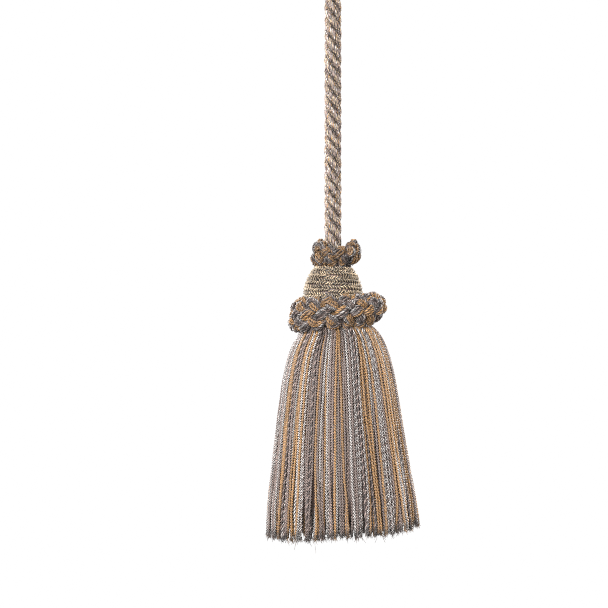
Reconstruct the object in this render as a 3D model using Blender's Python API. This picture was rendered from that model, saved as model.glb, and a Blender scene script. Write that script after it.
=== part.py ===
"""A decorative tassel that hangs by the loop of its twisted rope.

The origin is the inner crown of the rope's loop, which a hook or a peg carries. +Z is up, and the
front faces -Y. Lengths are in metres. From the top down the pieces are the rope, the whipping that
binds its loop, a small looped ruff round the rope's foot, the wound head, a wider ruff round the
head's base, and the skirt of cut cords.
"""

import math

import bmesh
import bpy
from mathutils import Vector

MM = 0.001
GAP = 0.3 * MM  # running gap between touching pieces

# Rope
ROPE_DIAMETER = 8.9 * MM
ROPE_RADIUS = ROPE_DIAMETER / 2
ROPE_STEP = 2 * ROPE_DIAMETER  # longest distance between the tube's rings on its straight stretch
BEND_STEP = ROPE_RADIUS  # and where the rope bends
BEND_ANGLE = math.radians(8)  # a stretch bends if its neighbours differ in direction by more
ROPE_SIDES_LEVEL = 3  # the curve's bevel resolution: 10 sides
# The rope's line as (x, z) in millimetres, from the head's top, up, over the loop and down its tail.
ROPE_ROUTE = (
    (0.0, -223.6), (0.0, -206.0), (0.0, -188.0), (0.0, -170.0), (0.0, -152.0), (0.0, -134.0), (0.0, -116.0),
    (0.0, -102.0), (0.0, -91.0), (-0.6, -83.5), (-2.3, -77.0), (-4.1, -71.0), (-4.65, -64.0), (-4.65, -56.0),
    (-4.8, -48.0), (-7.0, -39.5), (-11.6, -31.0), (-16.3, -22.6), (-18.6, -13.5),
    (-16.0, -4.2), (-9.4, 2.2), (0.0, 4.45), (9.4, 2.2), (16.0, -4.2),
    (18.6, -13.5), (16.3, -22.6), (11.6, -31.0), (7.0, -39.5), (4.8, -48.0), (4.65, -56.0), (4.65, -65.0),
)

# Whipping: a flat-sided binding round both legs of the loop
WHIPPING_TOP = -50.0 * MM
WHIPPING_HEIGHT = 13.0 * MM
WHIPPING_WALL = 1.3 * MM
LEG_OFFSET = 4.65 * MM  # each leg's centre from the middle of the binding

# Head: an elliptic dome on a straight neck
HEAD_TOP = -223.9 * MM
HEAD_BOTTOM = -250.0 * MM
HEAD_RADIUS = 15.5 * MM
DOME_CENTRE = -239.0 * MM  # where the dome is widest
DOME_RISE = 19.4 * MM  # the ellipse's half height
DOME_SECTIONS = 7
HEAD_SIDES = 48

# Ruffs: rings of puffed loops, in rows that lie in each other's gaps
TOP_RUFF_TOP = -209.6 * MM
TOP_RUFF_BOTTOM = HEAD_TOP + GAP
TOP_RUFF_RADIUS = 13.5 * MM
TOP_RUFF_LOOPS = 9
TOP_RUFF_ROWS = 2
TOP_RUFF_LEAN = 1.2 * MM
COLLAR_TOP = -238.0 * MM
COLLAR_BOTTOM = -256.1 * MM
COLLAR_RADIUS = 24.6 * MM
COLLAR_BORE = 20.6 * MM  # at its bottom, where the skirt passes out under it
COLLAR_LOOPS = 21
COLLAR_ROWS = 3
LOOP_PUFF = 2.6 * MM  # how far a loop stands out from the gap beside it
LOOP_HALF_WIDTH = 0.6  # how far a loop reaches to each side, in loops
LOOP_HALF_HEIGHT = 0.75  # how far it reaches up and down, in rows
TOP_RUFF_COLUMNS = 6  # columns of faces on each loop
COLLAR_COLUMNS = 4
RUFF_EDGE = 0.25  # width of a ruff's flat edge, as a share of its thickness
RUFF_SWELL = 0.6  # how quickly a ruff swells from its edges: 1 is a round section
RUFF_BANDS = 10  # levels from the top edge to the bottom edge of a ruff

# The collar and the skirt hang a little to the right of the head, with their right side higher.
LEAN = 2.6 * MM
TILT = 0.045  # rise to the right, as a slope
SWAY = 2.2 * MM  # how much farther to the right the skirt's lower part hangs

# Skirt: a bell of cords in uneven locks, with each lock one tooth of the comb at the hem
SKIRT_NECK = 6.0 * MM  # height over which the skirt takes up its lean
SKIRT_LOCKS = 24
LOCK_SIDES = 5
LOCK_UNEVEN = 0.35  # how much the locks differ in how far they stand out, as a share of a groove
LOCK_WANDER = 0.22  # share of its width by which a lock's edge is out of step
HEM_RAGGED = 1.3 * MM  # how uneven the locks' ends are
HEM_START = 0.85  # share of the drop below which the ends are uneven
HEM_HOLLOW = 5.0 * MM  # how far the inner cords end above the outer ones
# Drop below the head's bottom, radius, and depth of the grooves between locks, in millimetres.
SKIRT_SECTIONS = (
    {"drop": 0.3, "radius": 15.4, "groove": 0.1},
    {"drop": 6.1, "radius": 20.0, "groove": 0.3},
    {"drop": 10.0, "radius": 22.6, "groove": 0.5},
    {"drop": 14.0, "radius": 24.7, "groove": 0.7},
    {"drop": 21.0, "radius": 27.1, "groove": 0.8},
    {"drop": 30.0, "radius": 29.2, "groove": 0.9},
    {"drop": 44.0, "radius": 31.4, "groove": 0.9},
    {"drop": 60.0, "radius": 33.7, "groove": 1.0},
    {"drop": 78.0, "radius": 36.4, "groove": 1.3},
    {"drop": 93.0, "radius": 38.8, "groove": 1.9},
    {"drop": 103.0, "radius": 40.2, "groove": 3.2},
    {"drop": 108.0, "radius": 40.2, "groove": 4.4},
)
HEM_RINGS = (0.9, 0.72, 0.45, 0.2)  # the bottom's rings as shares of the hem's radius

COLOURS = {
    "rope": (0.37, 0.29, 0.22),
    "whipping": (0.28, 0.22, 0.19),
    "ruff": (0.23, 0.17, 0.13),
    "head": (0.30, 0.23, 0.17),
    "skirt": (0.35, 0.27, 0.22),
}


def clear_scene():
    """Removes whatever the scene holds."""
    for old in list(bpy.data.objects):
        bpy.data.objects.remove(old)


def fabric(name, colour):
    """A matt yarn material."""
    material = bpy.data.materials.new(name)
    material.use_nodes = True
    shader = material.node_tree.nodes["Principled BSDF"]
    shader.inputs["Base Color"].default_value = (*colour, 1.0)
    shader.inputs["Roughness"].default_value = 0.7
    shader.inputs["Metallic"].default_value = 0.0
    return material


def link(name, data, material, parent):
    """Puts one named piece in the scene under its parent."""
    data.materials.append(material)
    piece = bpy.data.objects.new(name, data)
    piece.parent = parent
    bpy.context.scene.collection.objects.link(piece)
    return piece


def skin(name, sections, ring=False):
    """A closed mesh through loops of points of equal count.

    A ring joins the last loop to the first. Otherwise both ends are closed by fans to their middles.
    """
    form = bmesh.new()
    loops = [[form.verts.new(point) for point in section] for section in sections]
    following = loops[1:] + (loops[:1] if ring else [])
    for loop, after in zip(loops, following):
        for i, corner in enumerate(loop):
            j = (i + 1) % len(loop)
            form.faces.new((corner, loop[j], after[j], after[i]))
    if not ring:
        for loop in (loops[0], loops[-1]):
            middle = form.verts.new(sum((v.co for v in loop), Vector()) / len(loop))
            for i, corner in enumerate(loop):
                form.faces.new((corner, loop[(i + 1) % len(loop)], middle))
    bmesh.ops.recalc_face_normals(form, faces=form.faces)
    mesh = bpy.data.meshes.new(name)
    form.to_mesh(mesh)
    form.free()
    mesh.shade_smooth()
    mesh.set_sharp_from_angle(angle=math.radians(50))
    return mesh


def smooth_line(points):
    """Points on the smooth curve through the given points, closer together where it bends."""
    ends = [2 * points[0] - points[1], *points, 2 * points[-1] - points[-2]]
    line = []
    for before, start, stop, after in zip(ends, ends[1:], ends[2:], ends[3:]):
        bends = (start - before).angle(after - stop) > BEND_ANGLE
        count = math.ceil((stop - start).length / (BEND_STEP if bends else ROPE_STEP) - 0.1)
        for i in range(count):
            t = i / count
            line.append(
                0.5
                * (
                    2 * start
                    + (stop - before) * t
                    + (2 * before - 5 * start + 4 * stop - after) * t**2
                    + (3 * start - before - 3 * stop + after) * t**3
                )
            )
    return line + [points[-1]]


def rope_tube():
    """The rope's plain tube along its route."""
    route = [Vector((x * MM, 0.0, z * MM)) for x, z in ROPE_ROUTE]
    line = smooth_line(route)
    curve = bpy.data.curves.new("rope", "CURVE")
    curve.dimensions = "3D"
    curve.bevel_depth = ROPE_RADIUS
    curve.bevel_resolution = ROPE_SIDES_LEVEL
    curve.use_fill_caps = True
    spline = curve.splines.new("POLY")
    spline.points.add(len(line) - 1)
    for point, place in zip(spline.points, line):
        point.co = (*place, 1.0)
    return curve


def stadium(half_width, radius, z, sides=32):
    """A loop of points: two half circles whose centres are a half width from the middle."""
    loop = []
    for i in range(sides):
        turn = 2 * math.pi * (i + 0.5) / sides
        side = math.copysign(half_width, math.cos(turn))
        loop.append(Vector((side + radius * math.cos(turn), radius * math.sin(turn), z)))
    return loop


def whipping_band():
    """The binding as a ring of stadium outlines, rounded at its edges."""
    inner = ROPE_RADIUS + GAP
    outer = inner + WHIPPING_WALL
    top = WHIPPING_TOP
    bottom = WHIPPING_TOP - WHIPPING_HEIGHT
    edge = WHIPPING_WALL / 2
    outline = (
        (inner, bottom), (inner + edge, bottom - edge / 2), (outer, bottom + edge),
        (outer, top - edge), (inner + edge, top + edge / 2), (inner, top),
    )
    return skin("loop_whipping", [stadium(LEG_OFFSET, r, z) for r, z in outline], ring=True)


def circle(radius, z, sides):
    """A level loop of points round the rope's axis."""
    turns = (2 * math.pi * i / sides for i in range(sides))
    return [Vector((radius * math.cos(turn), radius * math.sin(turn), z)) for turn in turns]


def head_dome():
    """The wound head: an elliptic dome with a flat top, on a straight neck."""
    sections = [circle(HEAD_RADIUS, HEAD_BOTTOM, HEAD_SIDES)]
    for i in range(DOME_SECTIONS + 1):
        z = DOME_CENTRE + (HEAD_TOP - DOME_CENTRE) * i / DOME_SECTIONS
        radius = HEAD_RADIUS * math.sqrt(1 - ((z - DOME_CENTRE) / DOME_RISE) ** 2)
        sections.append(circle(radius, z, HEAD_SIDES))
    return skin("head", sections)


def puff(turn, level, loops, rows):
    """How full the nearest loop is at a place on a ruff: 1 on its crown and 0 in a gap.

    The level is 0 at the ruff's top edge and 1 at its bottom edge.
    """
    fullest = 0.0
    for row in range(rows):
        across = (turn * loops / (2 * math.pi) + row / 2) % 1.0 - 0.5
        along = level * rows - row - 0.5
        fullest = max(fullest, 1 - (across / LOOP_HALF_WIDTH) ** 2 - (along / LOOP_HALF_HEIGHT) ** 2)
    return math.sqrt(fullest)


def hang(point, share, sway=0.0):
    """Where a point of the leaning parts lies, for its share of the lean from 0 to 1."""
    return point + Vector((LEAN * share + sway, 0.0, TILT * point.x * share))


def ruff(name, top, bottom, outer, bore_top, bore_bottom, loops, columns, rows, place):
    """A ring of puffed loops round a bore that widens from its top radius to its bottom radius.

    The place function moves a point by its share of the lean, which is 0 at the top of the bore.
    """
    sections = []
    middle = (top + bottom) / 2
    height = top - bottom
    edge = RUFF_EDGE * (outer - LOOP_PUFF - (bore_top + bore_bottom) / 2)
    for i in range(columns):
        turn = 2 * math.pi * i / columns
        direction = Vector((math.cos(turn), math.sin(turn), 0.0))
        outline = []
        for band in range(RUFF_BANDS + 1):
            level = band / RUFF_BANDS
            z = middle + height / 2 * math.cos(math.pi * level)
            bore = bore_top + (bore_bottom - bore_top) * level
            swell = math.sin(math.pi * level) ** RUFF_SWELL
            dip = LOOP_PUFF * (1 - puff(turn, level, loops, rows))
            radius = bore + edge + (outer - bore - edge - dip) * swell
            outline.append(place(direction * radius + Vector((0.0, 0.0, z)), max(swell, level)))
        for radius, z, share in ((bore_bottom, bottom, 1.0), (bore_top, middle, 0.0), (bore_top, top, 0.0)):
            outline.append(place(direction * radius + Vector((0.0, 0.0, z)), share))
        sections.append(outline)
    return skin(name, sections, ring=True)


def top_ruff():
    """The small ruff at the rope's foot, fuller on its right side."""
    bore = ROPE_RADIUS + GAP

    def place(point, share):
        """Moves the outside of the ruff and leaves its bore round the rope."""
        outward = (point.xy.length - bore) / (TOP_RUFF_RADIUS - bore)
        return point + Vector((TOP_RUFF_LEAN * outward * share, 0.0, 0.0))

    return ruff(
        "top_ruff", TOP_RUFF_TOP, TOP_RUFF_BOTTOM, TOP_RUFF_RADIUS, bore, bore,
        TOP_RUFF_LOOPS, TOP_RUFF_LOOPS * TOP_RUFF_COLUMNS, TOP_RUFF_ROWS, place,
    )


def collar_ruff():
    """The wide ruff round the head's base, over the skirt's top."""
    return ruff(
        "collar_ruff", COLLAR_TOP, COLLAR_BOTTOM, COLLAR_RADIUS, HEAD_RADIUS + GAP, COLLAR_BORE,
        COLLAR_LOOPS, COLLAR_LOOPS * COLLAR_COLUMNS, COLLAR_ROWS, hang,
    )


def wander(lock, seed):
    """A fixed uneven value from -1 to 1 for each lock, the same all the way round."""
    return math.sin(lock * 2.399 + seed) * math.cos(lock * 1.117 + 2 * seed)


def lock_place(column):
    """The lock that a column belongs to, and how far it lies from the lock's middle, from -1 to 1."""
    lock, side = divmod(column, LOCK_SIDES)
    return lock, 2 * side / LOCK_SIDES - 1


def skirt_section(section):
    """One level of the skirt, with its locks bulging between grooves."""
    columns = SKIRT_LOCKS * LOCK_SIDES
    drop = section["drop"] * MM
    share = section["drop"] / SKIRT_SECTIONS[-1]["drop"]
    ends = max(0.0, share - HEM_START) / (1 - HEM_START)
    loop = []
    for column in range(columns):
        lock, place = lock_place(column)
        shift = LOCK_WANDER * wander(lock, 0.7) * (1 - place**2)
        turn = 2 * math.pi * (column + shift * LOCK_SIDES) / columns
        depth = section["groove"] * MM * (place**4 + LOCK_UNEVEN * (1 + wander(lock, 1.9)))
        radius = section["radius"] * MM - depth
        z = HEAD_BOTTOM - drop - HEM_RAGGED * (1 - wander(lock, 3.1)) / 2 * ends
        point = Vector((radius * math.cos(turn), radius * math.sin(turn), z))
        loop.append(hang(point, min(1.0, (HEAD_BOTTOM - GAP - z) / SKIRT_NECK), SWAY * share**2))
    return loop


def skirt_bell():
    """The skirt: its levels from the head down, then the rings of its slightly hollow bottom."""
    sections = [skirt_section(section) for section in SKIRT_SECTIONS]
    hem = sections[-1]
    middle = sum(hem, Vector()) / len(hem)
    for share in HEM_RINGS:
        rise = Vector((0.0, 0.0, HEM_HOLLOW * (1 - share**2)))
        sections.append([middle + (point - middle) * share + rise for point in hem])
    return skin("skirt", sections)


def build():
    """Makes every piece and hangs it under one empty at the loop's crown."""
    clear_scene()
    hook = bpy.data.objects.new("hook_point", None)
    bpy.context.scene.collection.objects.link(hook)
    finishes = {name: fabric(name, colour) for name, colour in COLOURS.items()}
    pieces = (
        ("rope", rope_tube(), "rope"),
        ("loop_whipping", whipping_band(), "whipping"),
        ("top_ruff", top_ruff(), "ruff"),
        ("head", head_dome(), "head"),
        ("collar_ruff", collar_ruff(), "ruff"),
        ("skirt", skirt_bell(), "skirt"),
    )
    for name, data, finish in pieces:
        link(name, data, finishes[finish], hook)


build()
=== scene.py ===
"""A decorative tassel that hangs by the loop of its twisted rope, made yarn by yarn.

Every yarn is a line in space with a lobed outline swept along it, so that its plies turn round it as
they do on a twisted cord. The rope, the two plaited ruffs, the wound head and the cut cords of the
skirt all come from that one way of working. Lengths are in metres, +Z is up and the front faces -Y.
"""

import logging
import math
from dataclasses import dataclass
from enum import Enum

import bpy
import numpy as np
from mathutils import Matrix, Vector
from mathutils.bvhtree import BVHTree


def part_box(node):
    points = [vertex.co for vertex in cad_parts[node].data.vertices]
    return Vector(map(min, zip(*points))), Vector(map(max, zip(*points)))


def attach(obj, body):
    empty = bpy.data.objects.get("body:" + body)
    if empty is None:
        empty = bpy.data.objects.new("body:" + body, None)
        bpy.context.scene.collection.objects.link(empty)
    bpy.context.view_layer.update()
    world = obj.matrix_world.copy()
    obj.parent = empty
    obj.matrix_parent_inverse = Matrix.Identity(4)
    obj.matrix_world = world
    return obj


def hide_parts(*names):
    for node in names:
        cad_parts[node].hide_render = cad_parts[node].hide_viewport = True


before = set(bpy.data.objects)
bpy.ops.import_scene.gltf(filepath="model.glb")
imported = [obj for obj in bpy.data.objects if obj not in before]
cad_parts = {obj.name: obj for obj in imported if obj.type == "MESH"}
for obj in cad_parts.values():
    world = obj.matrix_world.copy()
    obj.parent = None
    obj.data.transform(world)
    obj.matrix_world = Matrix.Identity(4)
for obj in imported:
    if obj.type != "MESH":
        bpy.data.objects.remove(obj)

LOG = logging.getLogger("tassel")
MM = 0.001
BODY = "root"
BAKE_MAP = "OFBake"  # the map that holds each yarn as a strip of its own
YARN_MAP = "yarn_mm"  # the map that holds places round and along a yarn, in millimetres
TONE = "tone"  # the attribute that lightens or darkens a stretch of yarn: at random, at cut ends, and as painted shade in grooves, between strands, under ribbons and under the collar
ANY_START = 6.28  # the range of a yarn's random first angle
MAP_REACH = 400.0  # the range of a yarn's random start on its map, in millimetres
FRONT = np.array([0.0, -1.0, 0.0])

Array = np.ndarray
Colour = tuple[float, float, float]
Socket = bpy.types.NodeSocket
Piece = bpy.types.Object
Tree = bpy.types.NodeTree
Point = tuple[float, float, float]


# --- Yarns and their finishes ---


class Yarn(Enum):
    """The dyed yarns that the tassel is made of."""

    GOLD = "gold"
    TAUPE = "taupe"
    SILVER = "silver"
    UMBER = "umber"
    CREAM = "cream"
    HEATHER = "heather"
    TWEED = "tweed"
    CAMEL = "camel"


@dataclass(frozen=True)
class YarnFinish:
    """How one yarn looks: the colours of its three plies and the lustre of its fibres."""

    plies: tuple[Colour, Colour, Colour]
    ply_pitch: float = 1.1  # millimetres from one ply to the next along the yarn
    ply_groove_shade: float = 0.25  # painted shade: how much darker a yarn is between its plies
    deep: float = 0.42  # how dark the darkest fibres are, as a share of the ply's colour
    roughness: float = 0.45
    sheen: float = 0.12
    sheen_roughness: float = 0.4
    specular: float = 0.45
    bump: float = 0.5
    bump_height: float = 0.12 * MM


GOLD_DYE: Colour = (0.64, 0.33, 0.11)
TAUPE_DYE: Colour = (0.44, 0.31, 0.265)
SILVER_DYE: Colour = (0.97, 0.87, 0.82)
UMBER_DYE: Colour = (0.075, 0.045, 0.038)
CREAM_DYE: Colour = (0.84, 0.62, 0.39)

FINISHES: dict[Yarn, YarnFinish] = {
    Yarn.GOLD: YarnFinish((GOLD_DYE,) * 3),
    Yarn.TAUPE: YarnFinish((TAUPE_DYE,) * 3),
    Yarn.SILVER: YarnFinish((SILVER_DYE,) * 3, roughness=0.38),
    Yarn.UMBER: YarnFinish((UMBER_DYE,) * 3, roughness=0.5),
    Yarn.CREAM: YarnFinish((CREAM_DYE,) * 3),
    Yarn.HEATHER: YarnFinish((TAUPE_DYE, SILVER_DYE, UMBER_DYE), ply_pitch=1.05, ply_groove_shade=0.8),
    Yarn.TWEED: YarnFinish((CREAM_DYE, TAUPE_DYE, CREAM_DYE), ply_pitch=1.15, ply_groove_shade=0.95),
    Yarn.CAMEL: YarnFinish((GOLD_DYE, CREAM_DYE, UMBER_DYE), ply_groove_shade=0.8),
}

PLY_EDGES = (("Second", 0.30, 0.37), ("Third", 0.63, 0.70), ("First", 0.96, 1.0))  # where each takes over
PLY_SLANT = 0.55  # how far the plies move on for each millimetre round a yarn
STREAKS = (7.0, 0.9, 1.0)  # noise scales round and along a yarn, for each millimetre
NUBS = (1.6, 1.1, 1.0)
DYE_LOTS = (0.11, 0.07, 1.0)
PLY_WANDER = (0.35, 0.25, 1.0)
PLY_SWAY = 1.6  # how far the plies wander, in turns
NUB_SHARE = 0.35  # how much the nubs add to the streaks
LIGHT_BAND = (0.45, 0.85)  # the noise at which fibres start to be light, and at which they all are
LIGHT_REACH = 0.95  # how much lighter those are than the darkest, as a share of the ply's colour
DYE_CHANGE = 0.2  # how far the dye strays either way
NUB_GLOSS = (0.22, 0.1)  # roughness that the nubs add, and that the whole yarn loses
TONE_POWER = 2.4  # spreads the tone, so that the painted shade in grooves goes dark


def feed(tree: Tree, node: bpy.types.Node, values: dict[int | str, object]) -> None:
    """Links or sets a node's inputs.

    Args:
        tree: the node's tree.
        node: the node.
        values: a socket or a plain value for each input, by name or number.
    """
    for key, value in values.items():
        if isinstance(value, Socket):
            tree.links.new(value, node.inputs[key])
        else:
            node.inputs[key].default_value = value


def put_node(tree: Tree, kind: str, values: dict[int | str, object], **options: object) -> bpy.types.Node:
    """Adds a node to a tree.

    Args:
        tree: the tree.
        kind: the node's type, without "ShaderNode".
        values: a socket or a plain value for each input, by name or number.
        options: the node's own settings.

    Returns:
        The node.
    """
    node = tree.nodes.new(f"ShaderNode{kind}")
    for name, value in options.items():
        setattr(node, name, value)
    feed(tree, node, values)
    return node


class NodeGroup:
    """A shader node group under construction, with short ways to add its nodes."""

    def __init__(self, name: str, inputs: dict[str, str], outputs: dict[str, str]) -> None:
        """Starts a group.

        Args:
            name: its name.
            inputs: each input's name and kind, such as "Float".
            outputs: each output's name and kind.
        """
        self.tree = bpy.data.node_groups.new(name, "ShaderNodeTree")
        for side, sockets in (("INPUT", inputs), ("OUTPUT", outputs)):
            for label, kind in sockets.items():
                self.tree.interface.new_socket(label, in_out=side, socket_type=f"NodeSocket{kind}")
        self.given = self.tree.nodes.new("NodeGroupInput").outputs
        self.result = self.tree.nodes.new("NodeGroupOutput")

    def maths(self, operation: str, *values: object) -> Socket:
        """Adds a Math node for some sockets or numbers, and returns its value."""
        return put_node(self.tree, "Math", dict(enumerate(values)), operation=operation).outputs[0]

    def mix(self, share: object, first: object, second: object, blend: str = "MIX") -> Socket:
        """Blends a share of the second colour into the first, and returns the colour."""
        values = {0: share, 6: first, 7: second}
        return put_node(self.tree, "Mix", values, data_type="RGBA", blend_type=blend).outputs[2]

    def noise(self, place: Socket, scales: Colour, detail: float = 2.0) -> Socket:
        """Returns noise from 0 to 1, read at a place that is first scaled along each axis."""
        scaled = put_node(self.tree, "VectorMath", {0: place, 1: scales}, operation="MULTIPLY").outputs[0]
        return put_node(self.tree, "TexNoise", {0: scaled, "Scale": 1.0, "Detail": detail}).outputs["Fac"]

    def band(self, value: Socket, low: float, high: float) -> Socket:
        """Returns a smooth rise from 0 to 1 as the value goes from low to high."""
        values = {0: value, 1: low, 2: high}
        return put_node(self.tree, "MapRange", values, interpolation_type="SMOOTHSTEP").outputs[0]

    def finish(self, values: dict[str, Socket]) -> Tree:
        """Links the group's outputs, and returns its tree."""
        feed(self.tree, self.result, values)
        return self.tree


def ply_twist_group() -> Tree:
    """Makes the group for plies that turn round a yarn too thin to be modelled ply by ply, with painted shade
    between them.

    Returns:
        The group.
    """
    plies = {ply: "Color" for ply in ("First", "Second", "Third")}
    inputs = {"Place": "Vector", "Pitch": "Float", "Depth": "Float", **plies}
    group = NodeGroup("ply_twist", inputs, {"Color": "Color", "Height": "Float"})
    given, maths = group.given, group.maths
    place = put_node(group.tree, "SeparateXYZ", {0: given["Place"]}).outputs
    wander = maths("MULTIPLY", group.noise(given["Place"], PLY_WANDER), PLY_SWAY)
    climb = maths("DIVIDE", place[1], maths("MULTIPLY", given["Pitch"], 3.0))
    slant = maths("ADD", maths("MULTIPLY", place[0], PLY_SLANT), wander)
    turn = maths("FRACT", maths("ADD", climb, slant))
    colour = given["First"]
    for ply, start, stop in PLY_EDGES:
        colour = group.mix(group.band(turn, start, stop), colour, given[ply])
    # painted shade: the colour goes darker between the plies
    wave = maths("ABSOLUTE", maths("SINE", maths("MULTIPLY", turn, 3 * math.pi)))
    groove_shade = maths("MULTIPLY", given["Depth"], maths("SUBTRACT", 1.0, wave))
    return group.finish({"Color": group.mix(groove_shade, colour, (0.0, 0.0, 0.0, 1.0)), "Height": wave})


def fibre_group() -> Tree:
    """Makes the group for a yarn's fibres: streaks, slow changes of dye, the tone with its painted shade, and
    gloss.

    Returns:
        The group.
    """
    inputs = {"Place": "Vector", "Dye": "Color", "Deep": "Float", "Gloss": "Float", "Tone": "Float"}
    outputs = {"Color": "Color", "Roughness": "Float", "Height": "Float"}
    group = NodeGroup("yarn_fibres", inputs, outputs)
    given, maths = group.given, group.maths
    streaks = group.noise(given["Place"], STREAKS, detail=3.0)
    nubs = group.noise(given["Place"], NUBS)
    slow = group.noise(given["Place"], DYE_LOTS, detail=1.0)
    light = group.band(maths("ADD", streaks, maths("MULTIPLY", nubs, NUB_SHARE)), *LIGHT_BAND)
    shade = maths("ADD", given["Deep"], maths("MULTIPLY", light, LIGHT_REACH))
    dye_lot = maths("ADD", 1 - DYE_CHANGE, maths("MULTIPLY", slow, 2 * DYE_CHANGE))
    shadow = maths("POWER", given["Tone"], TONE_POWER)
    shade = maths("MULTIPLY", maths("MULTIPLY", shade, dye_lot), shadow)
    colour = group.mix(1.0, given["Dye"], shade, "MULTIPLY")
    gloss = maths("ADD", given["Gloss"], maths("MULTIPLY", nubs, NUB_GLOSS[0]))
    gloss = maths("SUBTRACT", gloss, NUB_GLOSS[1])
    return group.finish({"Color": colour, "Roughness": gloss, "Height": streaks})


class Dyehouse:
    """Makes one material for each yarn, from groups that all of them share."""

    def __init__(self) -> None:
        """Builds the shared groups."""
        self.groups = ply_twist_group(), fibre_group()
        self.made: dict[Yarn, bpy.types.Material] = {}

    def material(self, yarn: Yarn) -> bpy.types.Material:
        """Gives a yarn's material, which is made at the first call.

        Args:
            yarn: which yarn it is.

        Returns:
            The material.
        """
        if yarn not in self.made:
            self.made[yarn] = self._dye(yarn, FINISHES[yarn])
        return self.made[yarn]

    def _dye(self, yarn: Yarn, finish: YarnFinish) -> bpy.types.Material:
        """Makes one yarn's material.

        Args:
            yarn: which yarn it is.
            finish: how it looks.

        Returns:
            The material.
        """
        material = bpy.data.materials.new(f"{yarn.value}_yarn")
        material.use_nodes = True
        tree = material.node_tree
        place = put_node(tree, "UVMap", {}, uv_map=YARN_MAP).outputs["UV"]
        tone = put_node(tree, "Attribute", {}, attribute_name=TONE).outputs["Fac"]
        plies = {ply: (*dye, 1.0) for ply, dye in zip(("First", "Second", "Third"), finish.plies)}
        values = {"Place": place, "Pitch": finish.ply_pitch, "Depth": finish.ply_groove_shade, **plies}
        twist = put_node(tree, "Group", values, node_tree=self.groups[0]).outputs
        values = {"Place": place, "Dye": twist["Color"], "Deep": finish.deep, "Gloss": finish.roughness}
        fibres = put_node(tree, "Group", {**values, "Tone": tone}, node_tree=self.groups[1]).outputs
        height = put_node(tree, "Math", {0: twist["Height"], 1: fibres["Height"]}, operation="ADD")
        values = {"Strength": finish.bump, "Distance": finish.bump_height, "Height": height.outputs[0]}
        bump = put_node(tree, "Bump", values)
        feed(tree, tree.nodes["Principled BSDF"], {
            "Base Color": fibres["Color"],
            "Roughness": fibres["Roughness"],
            "Normal": bump.outputs["Normal"],
            "Specular IOR Level": finish.specular,
            "Sheen Weight": finish.sheen,
            "Sheen Roughness": finish.sheen_roughness,
        })
        return material


# --- Lines and swept yarns ---


def unit(vectors: Array) -> Array:
    """Returns the vectors with a length of 1."""
    return vectors / np.maximum(np.linalg.norm(vectors, axis=-1, keepdims=True), 1e-12)


def angles_round(count: int) -> Array:
    """Returns evenly spaced angles round a full turn, from 0."""
    return 2 * np.pi * np.arange(count) / count


def upright(turn: Array, rise: float = 0.0) -> Array:
    """Returns the direction at each angle round an upright axis, with a rise along +Z."""
    return np.stack([np.cos(turn), np.sin(turn), rise + 0 * turn], axis=1)


def turned(radius: Array, turn: Array, level: Array, centre: Array | float = 0.0) -> Array:
    """Returns a form's rings as one line of points, from radii at each angle for each level."""
    across, level = radius * np.cos(turn) + centre, level + 0 * radius * turn
    return np.stack([across, radius * np.sin(turn), level], -1)[None, :, ::-1]


def travelled(points: Array) -> Array:
    """Measures how far along its line each point is.

    Args:
        points: the lines' points, with lines along the second last axis.

    Returns:
        A distance for each point.
    """
    steps = np.linalg.norm(np.diff(points, axis=-2), axis=-1)
    start = np.zeros((*steps.shape[:-1], 1))
    return np.concatenate([start, np.cumsum(steps, axis=-1)], axis=-1)


def directions(points: Array, looped: bool = False) -> Array:
    """Finds each point's direction along its line.

    Args:
        points: the lines' points, with lines along the second last axis.
        looped: whether each line's last point is followed by its first.

    Returns:
        Vectors with a length of 1.
    """
    if looped:
        return unit(np.roll(points, -1, axis=-2) - np.roll(points, 1, axis=-2))
    return unit(np.gradient(points, axis=-2))


def smooth_line(points: list[Vector], step: float, cuts: int = 32) -> Array:
    """Evenly spaced points on the smooth curve through the given points.

    Args:
        points: the points that the curve passes through.
        step: about how far apart the new points are.
        cuts: how finely each stretch is cut before it is measured.

    Returns:
        The new points, one row each.
    """
    ends = [2 * points[0] - points[1], *points, 2 * points[-1] - points[-2]]
    fine = []
    for before, start, stop, after in zip(ends, ends[1:], ends[2:], ends[3:]):
        for cut in range(cuts):
            t = cut / cuts
            curve = 2 * start + (stop - before) * t
            curve += (2 * before - 5 * start + 4 * stop - after) * t**2
            curve += (3 * start - before - 3 * stop + after) * t**3
            fine.append(0.5 * curve)
    line = np.array([*fine, points[-1]])
    far = travelled(line)
    places = np.linspace(0, far[-1], int(far[-1] / step) + 1)
    return np.stack([np.interp(places, far, line[:, axis]) for axis in range(3)], axis=1)


@dataclass(frozen=True)
class Outline:
    """The lobed cross-section of a twisted yarn or bundle.

    Each lobe has a crest and then a groove. Lobes are numbered in the order of their turn.
    """

    lobes: tuple[Yarn, ...]
    groove: float = 0.64  # the groove's distance from the middle, as a share of the crest's
    crests: int = 1  # side lines on each lobe's crest
    groove_shade: float = 0.25  # painted shade: how light a groove is, as a share of the crest

    @property
    def sides(self) -> int:
        """How many side lines run along the yarn."""
        return len(self.lobes) * (self.crests + 1)

    def turns(self) -> Array:
        """Each side line's angle."""
        return angles_round(self.sides)

    def reaches(self) -> Array:
        """Each side line's distance from the middle, as a share of the yarn's radius."""
        return np.tile([1.0] * self.crests + [self.groove], len(self.lobes))

    def tones(self) -> Array:
        """How light each side line is, with painted shade in the grooves."""
        return np.tile([1.0] * self.crests + [self.groove_shade], len(self.lobes))

    def faces(self) -> list[Yarn]:
        """The yarn that shows on the face after each side line."""
        return [self.lobes[((i + 1) // (self.crests + 1)) % len(self.lobes)] for i in range(self.sides)]


def plain_outline(yarn: Yarn, sides: int, groove_shade: float = 1.0) -> Outline:
    """Returns a round outline of one yarn, without lobes."""
    return Outline((yarn,) * sides, groove=1.0, crests=0, groove_shade=groove_shade)


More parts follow.
